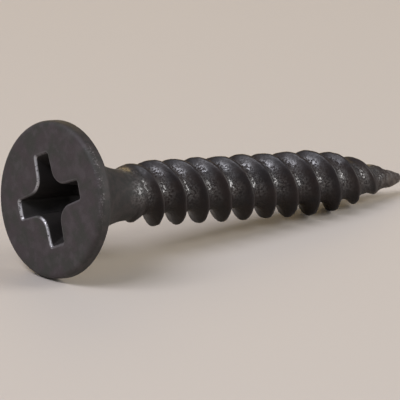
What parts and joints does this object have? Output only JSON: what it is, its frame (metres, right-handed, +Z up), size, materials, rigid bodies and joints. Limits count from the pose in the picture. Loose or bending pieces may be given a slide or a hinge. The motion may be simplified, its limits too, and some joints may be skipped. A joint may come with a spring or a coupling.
{
  "type": "drywall screw",
  "caption": "Black drywall screw with a bugle head, a cross recess, a fine rolled thread that runs out on a plain neck, and a sharp point.",
  "frame": {"origin": "on the surface that the screw lies on, under the middle of its box", "axes": "+Z up, +X from the head towards the point, level; the screw's own axis lies in the XZ plane and dips towards the point by about 7.7 degrees, because the head is wider than the thread"},
  "size_m": [0.0252, 0.0082, 0.0083],
  "materials": {
    "phosphate_steel": "black phosphate with a trace of oil, matte on the head, satin and speckled on the thread"
  },
  "bodies": {
    "root": {"screw": "phosphate_steel"}
  },
  "joints": []
}
